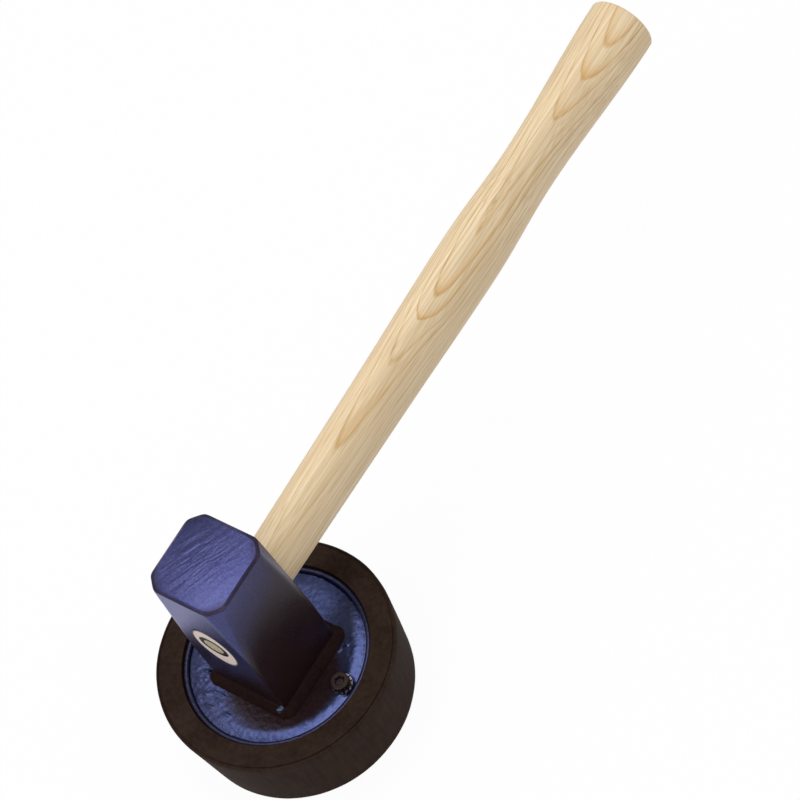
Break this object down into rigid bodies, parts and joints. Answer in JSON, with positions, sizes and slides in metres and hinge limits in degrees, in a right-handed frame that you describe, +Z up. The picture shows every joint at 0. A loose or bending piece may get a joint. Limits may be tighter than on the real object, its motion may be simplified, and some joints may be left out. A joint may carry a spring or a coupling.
{
  "type": "paving hammer",
  "caption": "Slab-laying hammer with a square steel head welded to a round plate, a round rubber striking pad and a wedged ash handle.",
  "frame": {"origin": "centre of the rubber pad's flat striking face", "axes": "+Z up through the head to the poll, +Y along the handle to the grip, +X across the head"},
  "size_m": [0.1114, 0.3797, 0.1317],
  "materials": {
    "painted_steel": "dark blue paint over hammered scale, semi-gloss",
    "black_rubber": "matte moulded",
    "ash": "sanded, thin clear coat",
    "dark_steel": "blackened",
    "bright_steel": "plain"
  },
  "bodies": {
    "root": {"head_block": "painted_steel", "base_plate": "painted_steel", "weld_bead": "painted_steel", "rubber_pad": "black_rubber", "pad_insert_right": "bright_steel", "pad_insert_left": "bright_steel", "lock_washer_right": "bright_steel", "lock_washer_left": "bright_steel", "cap_screw_right": "dark_steel", "cap_screw_left": "dark_steel", "handle": "ash", "ring_wedge": "bright_steel"}
  },
  "joints": []
}
